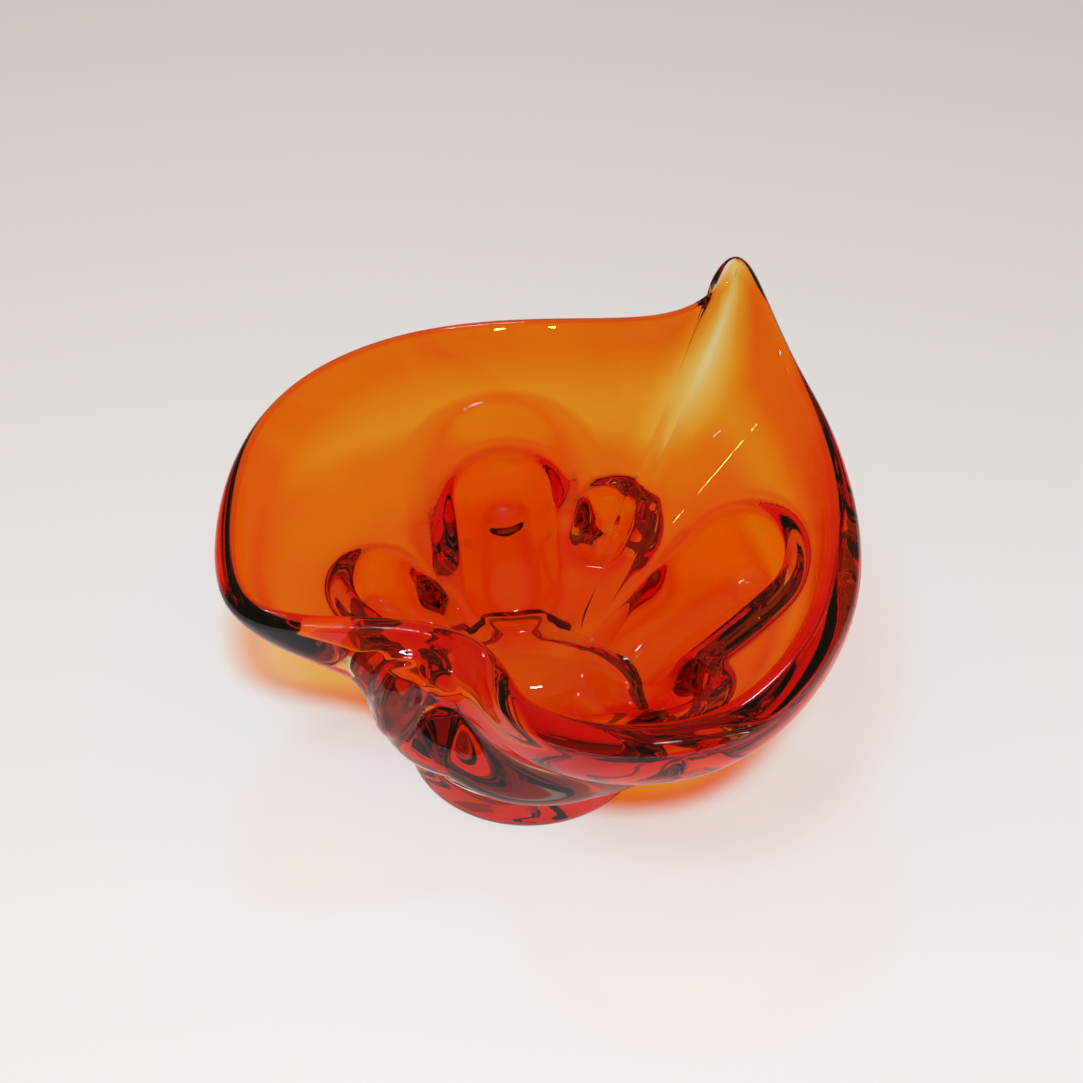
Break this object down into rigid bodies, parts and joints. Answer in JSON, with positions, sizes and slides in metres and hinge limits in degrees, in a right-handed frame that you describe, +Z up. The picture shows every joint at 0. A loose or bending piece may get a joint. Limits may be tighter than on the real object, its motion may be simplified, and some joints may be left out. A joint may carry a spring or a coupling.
{
  "type": "art glass bowl",
  "caption": "Free-form cased glass bowl with a pulled peak, a folded lip, hollow lobes in the well and a solid clear foot.",
  "frame": {"origin": "middle of the foot's flat underside, on the surface that the bowl stands on", "axes": "+Z up through the middle of the foot, +Y towards the back of the bowl where the peak is, +X to the right of a viewer who faces the folded front of the lip"},
  "size_m": [0.2077, 0.18, 0.1243],
  "materials": {
    "amber_glass": "fire-polished transparent orange glass, golden where drawn thin and deep red where thick",
    "clear_glass": "fire-polished colourless glass"
  },
  "bodies": {
    "root": {"colour_gather": "amber_glass", "clear_casing": "clear_glass", "foot": "clear_glass", "prunt_right": "clear_glass", "prunt_back_right": "clear_glass", "prunt_back": "clear_glass", "prunt_left": "clear_glass", "prunt_front_left": "clear_glass", "prunt_front_right": "clear_glass"}
  },
  "joints": []
}
